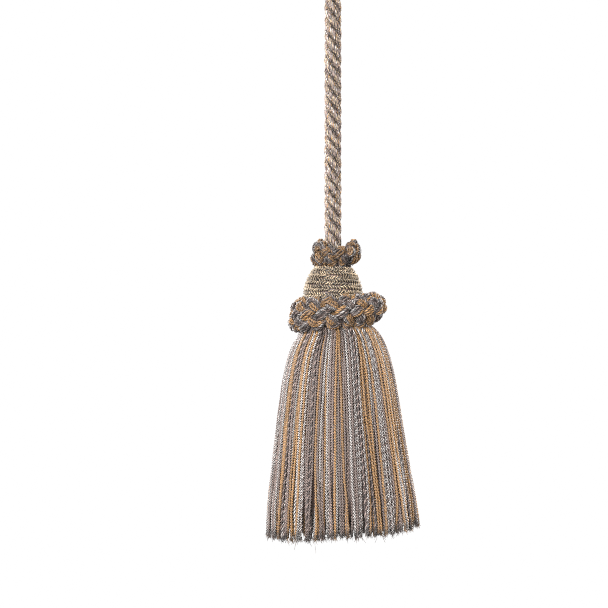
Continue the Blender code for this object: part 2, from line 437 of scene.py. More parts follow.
def sweep(
    points: Array, outward: Array, turns: Array, reaches: Array, thick: float = 1.0, wide: float = 1.0,
    looped: bool = False,
) -> Array:
    """Places the side lines of yarns along their lines.

    Args:
        points: lines by points by 3.
        outward: a direction for each point, which an angle of 0 faces.
        turns: lines by points by sides, each side line's angle.
        reaches: each side line's distance from the middle, of a shape that fits the turns.
        thick: how much it is stretched outward.
        wide: how much it is stretched across.
        looped: whether each line closes on itself.

    Returns:
        Lines by points by sides by 3.
    """
    along = directions(points, looped)
    out = unit(outward - (outward * along).sum(-1, keepdims=True) * along)
    across = np.cross(along, out)
    cosine = (np.cos(turns) * reaches * thick)[..., None]
    sine = (np.sin(turns) * reaches * wide)[..., None]
    return points[..., None, :] + cosine * out[..., None, :] + sine * across[..., None, :]


class Skein:
    """Gathers swept yarns and makes one mesh of them, which stands for a CAD node.

    Each yarn takes one or more strips of the bake map, side by side, with its length running up it.
    """

    MARGIN = 0.04  # share of a strip left free at each side
    CAP_ROOM = 0.02  # share of the map's height kept for the yarns' cut ends
    CAP_SIZE = 0.3  # a cut end's half width on the map, as a share of a strip

    def __init__(self, name: str, slot: str, node: str, dyehouse: Dyehouse) -> None:
        """Starts an empty skein.

        Args:
            name: the piece's name.
            slot: the record's material slot that it belongs to; not used.
            node: the CAD node that it stands for.
            dyehouse: where its materials come from.
        """
        self.name, self.slot, self.node, self.dyehouse = name, slot, node, dyehouse
        self.places, self.tones, self.faces = [], [], []
        self.yarns, self.strips, self.yarn_places = [], [], []
        self.palette: list[Yarn] = []
        self.count = self.strip = 0

    def add(
        self, rings: Array, outline: Outline, tone: Array | float = 1.0, looped: bool = False,
        folds: int = 1, shift: Array | None = None,
    ) -> None:
        """Adds yarns that share one outline.

        Args:
            rings: lines by points by sides by 3, the side lines' places.
            outline: the outline that was swept.
            tone: how light the yarns are, as lines by points by sides or as one number.
            looped: whether each yarn closes on itself.
            folds: how many strips of the bake map each yarn is folded into.
            shift: each line's start on the map of the yarns, in millimetres.
        """
        lines, points, sides = rings.shape[:3]
        spans = points if looped else points - 1
        line, span, side = np.meshgrid(range(lines), range(spans), range(sides), indexing="ij")
        middle = rings.mean(axis=2)
        far = travelled(np.concatenate([middle, middle[:, :1]], axis=1)) / MM
        girth = np.linalg.norm(rings - np.roll(rings, -1, axis=2), axis=-1).sum(-1).mean() / MM
        start = np.zeros((lines, 2)) if shift is None else shift
        long = math.ceil(spans / folds)
        fold = span // long
        corners, strips, yarn_places = [], [], []
        for more_span, more_side in ((0, 0), (0, 1), (1, 1), (1, 0)):
            at, around = (span + more_span) % points, (side + more_side) % sides
            corners.append((line * points + at) * sides + around + self.count)
            share = self.MARGIN + (1 - 2 * self.MARGIN) * (side + more_side) / sides
            up = self.CAP_ROOM + (1 - 2 * self.CAP_ROOM) * (span + more_span - fold * long) / long
            strips.append(np.stack([self.strip + line * folds + fold + share, up], -1))
            round_it = girth * (side + more_side) / sides + start[line, 0]
            yarn_places.append(np.stack([round_it, far[line, span + more_span] + start[line, 1]], -1))
        shown = outline.faces()
        self.palette += [yarn for yarn in dict.fromkeys(shown) if yarn not in self.palette]
        index = np.array([self.palette.index(yarn) for yarn in shown])
        self.faces.append(np.stack(corners, -1).reshape(-1, 4))
        self.yarns.append(np.broadcast_to(index, (lines, spans, sides)).ravel())
        self.strips.append(np.stack(strips, 3).reshape(-1, 2))
        self.yarn_places.append(np.stack(yarn_places, 3).reshape(-1, 2))
        self.places.append(rings.reshape(-1, 3))
        self.tones.append(np.broadcast_to(tone * outline.tones(), (lines, points, sides)).ravel())
        if not looped:
            self._close(lines, points, index)
        self.count += lines * points * sides
        self.strip += lines * folds

    def _close(self, lines: int, points: int, index: Array) -> None:
        """Closes both ends of each line with one face.

        Args:
            lines: how many lines there are.
            points: how many rings each has.
            index: each side's material.
        """
        sides = len(index)
        turn = angles_round(sides)
        first = self.count + np.arange(lines)[:, None] * points * sides
        starts = first + np.arange(sides)[::-1]
        stops = first + (points - 1) * sides + np.arange(sides)
        edge = 0.3 * self.CAP_ROOM
        for faces, yarn, up in ((starts, index[0], edge), (stops, index[-1], 1 - edge)):
            across = self.strip + np.arange(lines)[:, None] + 0.5 + self.CAP_SIZE * np.cos(turn)
            high = np.broadcast_to(up + 0.25 * self.CAP_ROOM * np.sin(turn), across.shape)
            cap = np.stack([across, high], -1).reshape(-1, 2)
            self.faces.append(faces)
            self.yarns.append(np.full(lines, yarn))
            self.strips.append(cap)
            self.yarn_places.append(cap)

    def wind(self) -> Piece:
        """Makes the mesh, with its maps, tones and materials.

        Returns:
            The piece, riding on the body in place of the CAD node.
        """
        mesh = bpy.data.meshes.new(self.name)
        sizes = np.concatenate([np.full(len(f), f.shape[1]) for f in self.faces])
        corners = np.concatenate([f.ravel() for f in self.faces])
        starts = np.concatenate([[0], np.cumsum(sizes)[:-1]])
        mesh.vertices.add(self.count)
        mesh.loops.add(len(corners))
        mesh.polygons.add(len(sizes))
        mesh.vertices.foreach_set("co", np.concatenate(self.places).astype(np.float32).ravel())
        mesh.loops.foreach_set("vertex_index", corners.astype(np.int32))
        mesh.polygons.foreach_set("loop_start", starts.astype(np.int32))
        mesh.polygons.foreach_set("material_index", np.concatenate(self.yarns).astype(np.int32))
        mesh.polygons.foreach_set("use_smooth", sizes == 4)
        strips = np.concatenate(self.strips) / (self.strip, 1)
        for name, values in ((BAKE_MAP, strips), (YARN_MAP, np.concatenate(self.yarn_places))):
            layer = mesh.uv_layers.new(name=name, do_init=False)
            layer.uv.foreach_set("vector", values.astype(np.float32).ravel())
        tone = mesh.attributes.new(TONE, "FLOAT", "POINT")
        tone.data.foreach_set("value", np.concatenate(self.tones).astype(np.float32))
        for yarn in self.palette:
            mesh.materials.append(self.dyehouse.material(yarn))
        mesh.update()
        mesh.validate()
        piece = bpy.data.objects.new(self.name, mesh)
        bpy.context.scene.collection.objects.link(piece)
        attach(piece, BODY)
        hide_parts(self.node)
        return piece


class Hull:
    """The outer surface of a CAD node, read by casting rays at it."""

    def __init__(self, node: str) -> None:
        """Reads the node.

        Args:
            node: the CAD node's name.
        """
        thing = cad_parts[node]
        corners = [v.co.copy() for v in thing.data.vertices]
        self.tree = BVHTree.FromPolygons(corners, [tuple(p.vertices) for p in thing.data.polygons])
        self.low, self.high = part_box(node)

    def reach(self, height: float, bearings: Array, centre: float = 0.0) -> Array:
        """How far the surface lies from an upright axis.

        Args:
            height: the level.
            bearings: the directions to look in, as angles from +X.
            centre: the axis's place along X.

        Returns:
            One distance for each bearing.
        """
        axis = Vector((centre, 0.0, height))
        found = []
        for bearing in bearings:
            way = Vector((math.cos(bearing), math.sin(bearing), 0.0))
            hit = self.tree.ray_cast(axis + way, -way)[0]
            found.append(0.0 if hit is None else max(0.0, (hit - axis).dot(way)))
        return np.array(found)

    def centre(self, height: float) -> float:
        """Returns the middle of the surface along X at a level."""
        right, left = self.reach(height, np.array([0.0, math.pi]))
        return (right - left) / 2


# --- The rope and its whipping ---


@dataclass
class Rope:
    """A rope of four strands, each of fourteen yarns laid the other way, with a loop at its top."""

    dyehouse: Dyehouse
    diameter: float = 8.9 * MM
    lead: float = 26.3 * MM
    yarn_lead: float = 7.2 * MM
    step: float = 0.52 * MM
    strands: int = 4
    offset: float = 0.54  # a strand's distance from the middle, as a share of the radius
    press: float = 0.97  # how close its neighbours press a strand, as a share of its room
    groove: float = 0.76  # how far out a groove between two yarns lies, as a share of the crest
    groove_shade: float = 0.3  # painted shade: how light such a groove is
    uneven: float = 0.05  # how much the yarns differ in how far they stand out
    light: float = 0.96  # a strand's tone on its crest
    shade: float = 0.42  # painted shade: how much less that is deep between the strands
    shade_start: float = 48.0  # where it starts to fall, in degrees from the crest
    shade_width: float = 40.0  # over how many degrees it falls
    route: tuple[tuple[float, float], ...] = (  # (x, z) in millimetres, from the head up and over the loop
        (0.0, -223.6), (0.0, -206.0), (0.0, -188.0), (0.0, -170.0), (0.0, -152.0), (0.0, -134.0),
        (0.0, -116.0), (0.0, -102.0), (0.0, -91.0), (-0.6, -83.5), (-2.3, -77.0), (-4.1, -71.0),
        (-4.65, -64.0), (-4.65, -56.0), (-4.8, -48.0), (-7.0, -39.5), (-11.6, -31.0), (-16.3, -22.6),
        (-18.6, -13.5), (-16.0, -4.2), (-9.4, 2.2), (0.0, 4.45), (9.4, 2.2), (16.0, -4.2),
        (18.6, -13.5), (16.3, -22.6), (11.6, -31.0), (7.0, -39.5), (4.8, -48.0), (4.65, -56.0),
        (4.65, -65.0),
    )
    yarns: tuple[Yarn, ...] = (
        Yarn.TWEED, Yarn.HEATHER, Yarn.TWEED, Yarn.TAUPE, Yarn.HEATHER, Yarn.CAMEL, Yarn.TWEED, Yarn.TAUPE,
        Yarn.TWEED, Yarn.HEATHER, Yarn.TWEED, Yarn.TAUPE, Yarn.CAMEL, Yarn.HEATHER,
    )

    def line(self) -> Array:
        """Returns the rope's middle, from the head to the tail's end."""
        return smooth_line([Vector((x * MM, 0.0, z * MM)) for x, z in self.route], self.step)

    def build(self) -> Piece:
        """Makes the four strands as one piece.

        Returns:
            The piece.
        """
        skein = Skein("rope_strands", "rope", "rope", self.dyehouse)
        middle = self.line()
        far = travelled(middle)
        across = np.cross(directions(middle), FRONT)
        radius = self.diameter / 2
        offset = self.offset * radius
        rng = np.random.default_rng(4)
        for strand in range(self.strands):
            lobes = self.yarns[self.strands * strand :] + self.yarns[: self.strands * strand]
            outline = Outline(lobes, groove=self.groove, groove_shade=self.groove_shade)
            turn = -2 * np.pi * far / self.lead + 2 * np.pi / self.strands * strand
            out = np.cos(turn)[:, None] * FRONT + np.sin(turn)[:, None] * across
            line = middle + offset * out
            turns = outline.turns() + (2 * np.pi * far / self.yarn_lead)[:, None]
            facing = np.abs((turns + np.pi) % (2 * np.pi) - np.pi)
            proud = 1 + self.uneven * rng.standard_normal(outline.sides)
            flat = self.press * (offset / np.maximum(np.sin(facing) - np.cos(turns), 1e-3))
            reaches = np.minimum(radius - offset, flat) * outline.reaches()
            rings = sweep(line[None], out[None], turns[None], (reaches * np.clip(proud, 0.9, 1.0))[None])
            # painted shade: a strand darkens where it turns in towards the others
            deep = np.clip((np.degrees(facing) - self.shade_start) / self.shade_width, 0, 1)
            tone = self.light - self.shade * deep
            skein.add(rings, outline, tone=tone[None], folds=3, shift=strand * np.array([[17.0, 31.0]]))
        return skein.wind()


@dataclass
class Whipping:
    """Thread wound round both legs of the rope's loop."""

    dyehouse: Dyehouse
    rope_radius: float = 4.45 * MM
    leg: float = 4.65 * MM  # each leg's distance from the middle
    thread: float = 1.2 * MM
    pitch: float = 1.08 * MM
    lead: float = 3.0 * MM
    step: float = 0.5 * MM

    def build(self) -> Piece:
        """Makes the winding from the bottom to the top.

        Returns:
            The piece.
        """
        low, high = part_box("loop_whipping")
        outline = Outline((Yarn.UMBER, Yarn.TAUPE, Yarn.GOLD), groove=0.7, groove_shade=0.5)
        reach = self.rope_radius + self.thread / 2
        height = high.z - low.z - self.thread
        turns = height / self.pitch
        girth = 2 * np.pi * reach + 4 * self.leg
        count = int(turns * girth / self.step)
        points, outward = self._around(np.linspace(0, turns, count) % 1.0 * girth, reach)
        points[:, 2] = low.z + self.thread / 2 + height * np.linspace(0, 1, count)
        angles = outline.turns() + 2 * np.pi * travelled(points)[:, None] / self.lead
        rings = sweep(points[None], outward[None], angles[None], outline.reaches() * self.thread / 2)
        skein = Skein("whipping_thread", "whipping", "loop_whipping", self.dyehouse)
        skein.add(rings, outline, tone=0.9, folds=8)
        return skein.wind()

    def _around(self, place: Array, reach: float) -> tuple[Array, Array]:
        """Points on the flat-sided ring round both legs.

        Args:
            place: how far round the ring each point is.
            reach: the distance from the legs' middles.

        Returns:
            The points at a height of 0, and their outward directions.
        """
        arc, flat = np.pi * reach, 2 * self.leg
        on_right = np.clip(place / arc, 0, 1)
        on_left = np.clip((place - arc - flat) / arc, 0, 1)
        back = np.clip((place - arc) / flat, 0, 1)
        front = np.clip((place - 2 * arc - flat) / flat, 0, 1)
        outward = upright(-np.pi / 2 + np.pi * (on_right + on_left))
        points = reach * outward
        points[:, 0] += self.leg * (1 - 2 * back + 2 * front)
        return points, outward


# --- Cords of three plies ---


@dataclass(frozen=True)
class Plies:
    """The three plies of a cord, and how light it is between them, as painted shade."""

    yarns: tuple[Yarn, Yarn, Yarn]
    groove_shade: float


class CordKind(Enum):
    """The kinds of three-ply cord that the ruffs and the skirt are made of."""

    GOLD = Plies((Yarn.GOLD, Yarn.GOLD, Yarn.GOLD), 0.3)
    TAUPE = Plies((Yarn.TAUPE, Yarn.TAUPE, Yarn.TAUPE), 0.15)
    SALT = Plies((Yarn.SILVER, Yarn.SILVER, Yarn.SILVER), 0.02)
    MARL = Plies((Yarn.SILVER, Yarn.TAUPE, Yarn.SILVER), 0.05)
    DARK = Plies((Yarn.UMBER, Yarn.TAUPE, Yarn.UMBER), 0.4)

    def outline(self) -> Outline:
        """The outline that is swept along such a cord."""
        return Outline(self.value.yarns, groove=0.55, groove_shade=self.value.groove_shade)


GOLD, TAUPE, SALT, MARL, DARK = CordKind


# --- The plaited ruffs ---


@dataclass
class Ruff:
    """A plait of ribbons laid round the tassel, each ribbon a row of cords side by side.

    A ribbon swings from the ruff's top edge over its round face to the bottom edge and back, and goes
    over and under the others in turn.
    """

    dyehouse: Dyehouse
    node: str
    plait: int  # how many ribbons there are
    depth: float  # how far the round face stands out
    wide: float  # half the width of a ribbon, to its outer cords' middles
    thick: float  # how far a ribbon's middle cords stand out from its edges
    cross: float  # how far a ribbon rises and dips where it crosses another
    cord: float  # radius of a cord
    points: int  # rings in one lap
    seed: int
    shift: float  # how far its upper part stands to the right
    tilt: float = 0.0  # the ruff's rise to the right, as a slope
    lift: float = 0.0  # how far it sits above the middle of the CAD node's height
    start: float = 0.0  # where the first ribbon starts its swing, as an angle
    dip: float = 0.0  # how much lower its top lies in front and behind than at its sides
    shade: float = 1.0  # how light its cords are
    swings: int = 2  # how often each ribbon swings down and back in one lap
    arc: float = 1.4  # how far over the face the ribbons' middles swing, as an angle
    lead: float = 3.6 * MM
    spread: float = 92.0  # how far round a ribbon its outer cords lie, in degrees from its middle
    snap: float = 1.6  # how quickly a ribbon goes from under to over
    plump: float = 0.16  # how much fuller a ribbon is where it is over
    wander: float = 0.14  # how far the swings run ahead or behind, as an angle
    slack: float = 0.3 * MM  # how far a ribbon strays in and out
    light: tuple[float, float] = (0.76, 0.92)  # range of a cord's tone
    under: float = 0.21  # painted shade: how much of a cord's tone is lost, halfway from over to under
    gold_light: float = 1.02  # tone of the gold cords
    other_light: float = 0.91  # tone of the others
    ribbons: tuple[tuple[CordKind, ...], ...] = (
        (GOLD, GOLD, GOLD, SALT, DARK),
        (SALT, TAUPE, GOLD, GOLD, DARK),
        (TAUPE, GOLD, GOLD, GOLD, MARL),
        (SALT, DARK, TAUPE, GOLD, GOLD),
        (GOLD, GOLD, MARL, DARK, SALT),
        (TAUPE, SALT, DARK, TAUPE, SALT),
        (SALT, DARK, GOLD, GOLD, GOLD),
        (TAUPE, MARL, TAUPE, DARK, SALT),
    )

    def _uneven(self, bearing: Array, waves: int) -> Array:
        """A smooth uneven value round the ring, mostly from -1 to 1.

        Args:
            bearing: the angles to read it at.
            waves: its shortest wave, as waves in a lap.

        Returns:
            One value for each angle.
        """
        total = np.zeros_like(bearing)
        for wave in range(2, waves):
            total += np.sin(wave * bearing + self.rng.uniform(0, 2 * np.pi)) * self.rng.uniform(0.3, 1.0)
        return total / math.sqrt(0.25 * waves)

    def build(self) -> list[Piece]:
        """Makes one closed piece for each ribbon.

        Returns:
            The pieces.
        """
        self.rng = np.random.default_rng(self.seed)
        self.bearing = angles_round(self.points)
        self.ahead = self.wander * self._uneven(self.bearing, 7)
        return [self._ribbon(number) for number in range(self.plait)]

    def _ribbon(self, number: int) -> Piece:
        """Makes one ribbon.

        Args:
            number: which ribbon it is.

        Returns:
            The ribbon's piece.
        """
        low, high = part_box(self.node)
        outer = (high.x - low.x) / 2
        side = self.thick + self.cord + 0.8 * self.cross
        middle = outer - side - self.depth
        rise = ((high.z - low.z) / 2 - side - abs(self.tilt) * outer * 0.5) / math.sin(self.arc)
        phase = self.swings * self.bearing + 2 * np.pi * number / self.plait + self.start + self.ahead
        over = np.tanh(self.snap * np.sin((self.plait - 1) * (phase - np.pi / 2))) / math.tanh(self.snap)
        lean = self.arc * np.sin(phase) * (1 + 0.05 * self._uneven(self.bearing, 12))
        away = upright(self.bearing)
        up = np.array([0.0, 0.0, 1.0])
        outward = unit(np.cos(lean)[:, None] * away / self.depth + np.sin(lean)[:, None] * up / rise)
        line = away * (middle + self.depth * np.cos(lean))[:, None]
        line[:, 2] = rise * np.sin(lean)
        line += outward * (self.cross * over + self.slack * self._uneven(self.bearing, 20))[:, None]
        upper = 0.5 + 0.5 * np.sin(lean)
        line[:, 0] += self.shift * np.minimum(1.0, 2.0 * upper)
        line[:, 2] -= self.dip * upper * np.sin(self.bearing) ** 2
        line[:, 2] += (low.z + high.z) / 2 + self.lift + self.tilt * line[:, 0]
        skein = Skein(f"{self.node}_ribbon_{number + 1}", "ruff", self.node, self.dyehouse)
        self._lay_cords(skein, self.ribbons[number], line, outward, over)
        # painted shade: umber padding inside each ribbon, darkened further, shows between its cords
        padding = plain_outline(Yarn.UMBER, 8)
        turns = np.broadcast_to(padding.turns(), (1, len(line), 8))
        thick, wide = self.thick * 0.9, self.wide * 0.85
        core = sweep(line[None], outward[None], turns, np.ones(8), thick, wide, looped=True)
        skein.add(core, padding, tone=0.7, looped=True, folds=3)
        return skein.wind()

    def _lay_cords(
        self, skein: Skein, kinds: tuple[CordKind, ...], line: Array, outward: Array, over: Array
    ) -> None:
        """Lays a ribbon's cords side by side.

        Args:
            skein: the ribbon's piece.
            kinds: its cords.
            line: its middle.
            outward: the direction that its face looks in at each point.
            over: from -1 where it is under another ribbon to 1 where it is over.
        """
        across = np.cross(directions(line, looped=True), outward)
        plump = 1 + self.plump * over
        spread = np.linspace(-1, 1, len(kinds)) * math.radians(self.spread)
        for number, kind in enumerate(kinds):
            turn = spread[number] + 0.08 * self._uneven(self.bearing, 16)
            out = (self.thick * plump * np.cos(turn))[:, None] * outward
            points = line + out + (self.wide * plump * np.sin(turn))[:, None] * across
            far = travelled(np.concatenate([points, points[:1]]))
            laps = round(far[-1] / self.lead)
            outline = kind.outline()
            turns = outline.turns() + 2 * np.pi * laps * (far[:-1, None] / far[-1])
            turns += self.rng.uniform(0, ANY_START)
            reaches = np.broadcast_to(outline.reaches() * self.cord, turns.shape)
            rings = sweep(points[None], outward[None], turns[None], reaches[None], looped=True)
            light = self.gold_light if kind is GOLD else self.other_light
            # painted shade: a cord is darker where its ribbon lies under another
            tone = self.shade * self.rng.uniform(*self.light) * (1 - self.under + self.under * over) * light
            shift = self.rng.uniform(0, MAP_REACH, (1, 2))
            skein.add(rings, outline, tone=tone[None, :, None], looped=True, folds=3, shift=shift)


# --- The wound head ---


@dataclass
class Head:
    """The domed head, wound from the top down with two thin cords of opposite twist side by side."""

    dyehouse: Dyehouse
    cord: float = 2.05 * MM
    pitch: float = 1.85 * MM
    lead: float = 2.9 * MM
    step: float = 0.36 * MM
    typical_radius: float = 13.5 * MM  # gives the number of points in a lap
    ripple: float = 0.14  # how far a row strays up and down, as a share of the pitch
    ripple_run: int = 9  # points from one stray to the next
    slip: float = 0.42  # how unevenly the cords are twisted, in radians a point
    light: float = 0.82  # the cords' tone
    flicker: float = 0.16  # how much that changes along them
    flicker_step: float = 0.5  # how quickly it does
    look_up: float = 0.25  # how far the cords' faces look up
    padding: float = 0.9  # how far the core lies inside the face, in cords
    trim: float = 0.2 * MM  # how far inside the CAD node's top and bottom its outline is read
    readings: int = 120
    places: int = 400  # evenly spaced along the outline
    core_sides: int = 96
    core_rows: tuple[int, int] = (8, 12)  # the first place that the core takes, and the step to its next

    def _profile(self) -> tuple[Array, Array, Array]:
        """Follows the head's outline from the top down.

        Returns:
            How far along the outline each place is, and the places' radii and heights.
        """
        hull = Hull("head")
        heights = np.linspace(hull.high.z - self.trim, hull.low.z + self.trim, self.readings)
        radii = np.array([hull.reach(z, np.array([0.1]))[0] for z in heights])
        slope = np.array([radii[1] - radii[0], heights[1] - heights[0]])
        top = np.array([radii[0], heights[0]]) - 2 * self.pitch * unit(slope)
        radii, heights = np.append(top[0], radii), np.append(top[1], heights)
        far = travelled(np.stack([radii, heights], axis=1))
        even = np.linspace(0, far[-1], self.places)
        return even, np.interp(even, far, radii), np.interp(even, far, heights)

    def build(self) -> Piece:
        """Makes the two cords and the padding under them.

        Returns:
            The piece.
        """
        far, radii, heights = self._profile()
        rng = np.random.default_rng(21)
        skein = Skein("head_winding", "head", "head", self.dyehouse)
        outline = Outline((Yarn.CREAM, Yarn.CREAM), groove=0.5, groove_shade=0.05)
        laps = ((far[-1] - self.cord) / self.pitch - 1) / 2
        count = int(laps * 2 * np.pi * self.typical_radius / self.step)
        bearing = np.linspace(0, 2 * np.pi * laps, count)
        knots = np.arange(0, count, self.ripple_run)
        for cord, hand in enumerate((1, -1)):
            ripple = self.ripple * np.interp(np.arange(count), knots, rng.standard_normal(len(knots)))
            down = self.cord / 2 + (bearing / np.pi + cord + ripple) * self.pitch
            points = (np.interp(down, far, radii) - self.cord / 2)[:, None] * upright(bearing)
            points[:, 2] = np.interp(down, far, heights)
            slip = np.cumsum(rng.standard_normal(count)) * self.slip
            turns = outline.turns() + (hand * 2 * np.pi * travelled(points) / self.lead + slip)[:, None]
            reaches = outline.reaches() * self.cord / 2
            rings = sweep(points[None], upright(bearing, rise=self.look_up)[None], turns[None], reaches)
            flicker = np.sin(np.cumsum(rng.standard_normal(count)) * self.flicker_step)
            tone = self.light + self.flicker * flicker
            shift = rng.uniform(0, MAP_REACH, (1, 2))
            skein.add(rings, outline, tone=tone[None, :, None], folds=6, shift=shift)
        # painted shade: the umber padding under the winding shows as dark lines between the rows
        some = slice(self.core_rows[0], None, self.core_rows[1])
        radius = (radii[some] - self.padding * self.cord)[:, None]
        core = turned(radius, angles_round(self.core_sides), heights[some][:, None])
        skein.add(core, plain_outline(Yarn.UMBER, self.core_sides))
        return skein.wind()


# --- The skirt of cut cords ---


@dataclass(frozen=True)
class Layer:
    """How the cords of one layer of the skirt are made."""

    depth: tuple[float, float]  # how deep they lie in the bell, in millimetres
    rings: int  # rings along a cord
    slow: float  # its lead, as a share of the usual one
    # how light its cords are; the inner layer's lower value is painted shade, deeper in the bell
    light: float
    fibres: int  # loose fibres at its cut end


@dataclass
class Skirt:
    """The skirt: cut cords that hang close together, packed as round things pack."""

    dyehouse: Dyehouse
    seed: int = 21
    outer_cords: int = 180
    inner_cords: int = 120
    stubs: int = 260
    locks: int = 24
    radius: float = 0.68 * MM
    lead: float = 3.9 * MM
    levels: int = 44
    bell_sides: int = 120
    rim: float = 6.0 * MM  # height of the uneven rim that the bell's levels are read above
    rim_step: float = 0.4 * MM
    rim_radius: float = 30 * MM  # the rim lies further out than this
    outer_layer: Layer = Layer(depth=(0.0, 0.5), rings=170, slow=1.0, light=1.0, fibres=15)
    inner_layer: Layer = Layer(depth=(1.4, 4.0), rings=60, slow=1.5, light=0.98, fibres=9)
    deepen: tuple[float, float] = (0.6, 0.8)  # share of its depth at the top, and what the hem adds
    press: float = 0.97  # how close cords lie, as a share of their width
    rounds: tuple[int, int] = (60, 14)  # how often they are moved apart, at the top level and at others
    jitter: float = 0.3  # how unevenly they start, as a share of the space between them
    follow: float = 0.3  # how strongly a cord seeks a place of its own at each level
    stray: float = 1.9 * MM  # how far a cord strays sideways at the hem, on average
    bend: float = 0.9 * MM  # how far it bends on its way
    swing: float = 0.35 * MM  # how far it swings aside near its end, on average
    swing_power: int = 6  # how late on its way it does
    ripple: float = 0.05 * MM
    ripples: float = 40.0  # the ripple's angle over a cord's length
    flare: float = 0.22  # how much wider it is at its cut end
    flare_run: float = 2.5 * MM
    tones: tuple[float, float] = (0.9, 1.06)
    end_darkening: float = 0.62  # how much darker its end is
    end_darkening_run: tuple[float, float] = (2.0, 6.0)  # for how many millimetres
    collar_shadow: float = 0.3  # painted shadow: how much darker its top is, under the collar
    collar_shadow_run: float = 7.0 * MM
    uneven: tuple[float, float] = (0.93, 1.08)  # range of its lead, as a share of the usual one
    hem_lift: tuple[float, float] = (0.9, 2.7)  # how far above the bell's rim cords end, in millimetres
    hem_slope: float = 0.9  # how much higher they end at the right than in front, in millimetres
    stub_lift: tuple[float, float] = (0.6, 2.8)
    stub_slow: float = 1.6  # their lead, as a share of the usual one
    # painted shade: the stubs deep inside the bell are darker
    stub_shaded_tone: float = 0.75
    stub_rings: int = 9
    fill: float = 4.6 * MM  # how far inside the bell's face the filling lies
    fibre_long: tuple[float, float] = (0.7, 2.0)  # how long the fibres at a cut end are, in millimetres
    fibre_radii: tuple[float, float, float] = (0.15, 0.13, 0.07)  # from root to tip, in millimetres
    fibre_root: float = 0.32 * MM  # how far from the cord's middle they start, on average
    fibre_splay: float = 0.24
    fibre_curl: float = 0.3
    fibre_tones: tuple[float, float] = (0.33, 0.6)
    strays: tuple[float, float] = (0.025, 2.2)  # share of fibres that stick out, and how much longer they are
    runs: tuple[tuple[CordKind, float, int], ...] = (  # each kind's share of the runs and its longest run
        (GOLD, 0.31, 2),
        (TAUPE, 0.28, 4),
        (SALT, 0.19, 3),
        (MARL, 0.16, 3),
        (DARK, 0.06, 3),
    )

    def __post_init__(self) -> None:
        """Reads the bell that the cords fill, and shares out the cords."""
        self.hull = Hull("skirt")
        self.rng = np.random.default_rng(self.seed)
        self.heights = np.linspace(self.hull.high.z - 1.0 * MM, self.hull.low.z, self.levels)
        self.bearings = angles_round(self.bell_sides)
        clear = np.maximum(self.heights, self.hull.low.z + self.rim)
        self.centres = np.array([self.hull.centre(z) for z in clear])
        self.reaches = np.array([self.hull.reach(z, self.bearings, x) for z, x in zip(clear, self.centres)])
        rim = np.arange(self.hull.low.z, self.hull.low.z + self.rim, self.rim_step)
        walls = np.array([self.hull.reach(z, self.bearings, self.centres[-1]) for z in rim])
        self.hem = rim[np.argmax(walls > self.rim_radius, axis=0)]
        count = self.outer_cords + self.inner_cords
        share = np.arange(count) * self.outer_cords / count
        self.outer = np.floor(share + self.outer_cords / count) > np.floor(share)
        self.turn = np.empty(count)
        for chosen in (self.outer, ~self.outer):
            number = chosen.sum()
            uneven = self.rng.uniform(-self.jitter, self.jitter, number)
            self.turn[chosen] = 2 * np.pi * (np.arange(number) + uneven) / number
        self.kinds = self._kinds()

    def _kinds(self) -> list[CordKind]:
        """Shares out the kinds, in short runs of a kind round the skirt.

        Returns:
            Each cord's kind.
        """
        shares = np.array([share for _, share, _ in self.runs])
        last, laid = -1, []
        while len(laid) < len(self.turn):
            chances = shares * (np.arange(len(shares)) != last)
            last = self.rng.choice(len(shares), p=chances / chances.sum())
            kind, _, longest = self.runs[last]
            laid += [kind] * int(self.rng.integers(1, longest + 1))
        return [laid[rank] for rank in np.argsort(np.argsort(self.turn))]

    def _edge(self, level: int, turn: Array) -> Array:
        """Returns how far the bell reaches at a level, at each of some bearings."""
        return np.interp(turn, self.bearings, self.reaches[level], period=2 * np.pi)

    def settle(self) -> Array:
        """Works out where every cord lies at each level, without lying in another.

        Returns:
            Levels by cords by 2, measured from the bell's own axis.
        """
        count = len(self.turn)
        outer, inner = (self.rng.uniform(*lay.depth, count) for lay in (self.outer_layer, self.inner_layer))
        depth = np.where(self.outer, outer, inner) * MM
        drift = self._drift()
        found = []
        place = None
        for level in range(self.levels):
            share = level / (self.levels - 1)
            turn = self.turn + drift[level] / np.maximum(self._edge(level, self.turn), 1 * MM)
            reach = self._edge(level, turn) - self.radius - depth * (self.deepen[0] + self.deepen[1] * share)
            aim = np.stack([np.cos(turn), np.sin(turn)], 1) * np.maximum(reach, 4 * MM)[:, None]
            if place is None:
                place = aim
            else:
                grown = self._edge(level, turn) / self._edge(level - 1, turn)
                place = (1 - self.follow) * place * grown[:, None] + self.follow * aim
            for _ in range(self.rounds[level > 0]):
                place = self._part(place)
                far = np.linalg.norm(place, axis=1)
                most = self._edge(level, np.arctan2(place[:, 1], place[:, 0])) - self.radius
                place = place * np.minimum(1, most / np.maximum(far, 1e-9))[:, None]
            found.append(place)
        settled = np.array(found)
        for _ in range(2):
            settled[1:-1] = (settled[:-2] + 2 * settled[1:-1] + settled[2:]) / 4
        return settled

    def _drift(self) -> Array:
        """How far each cord strays sideways at each level, a few of them much more than the rest.

        Returns:
            Levels by cords.
        """
        count = len(self.turn)
        share = np.linspace(0, 1, self.levels)[:, None]
        stray = self.rng.exponential(self.stray, count) * self.rng.choice([-1, 1], count)
        bend = np.sin(share * self.rng.uniform(3, 9, count) + self.rng.uniform(0, ANY_START, count))
        return stray * share + self.bend * share * bend

    def _part(self, place: Array) -> Array:
        """Moves cords that lie in each other apart, by half of what is missing.

        Args:
            place: where the cords lie.

        Returns:
            Where they lie then.
        """
        apart = place[:, None] - place[None]
        others = 1 - np.eye(len(place))
        gap = np.sqrt((apart**2).sum(-1)) + np.eye(len(place))
        push = np.clip(2 * self.radius * self.press - gap, 0, None) * others / gap
        return place + 0.5 * (push[..., None] * apart).sum(1)

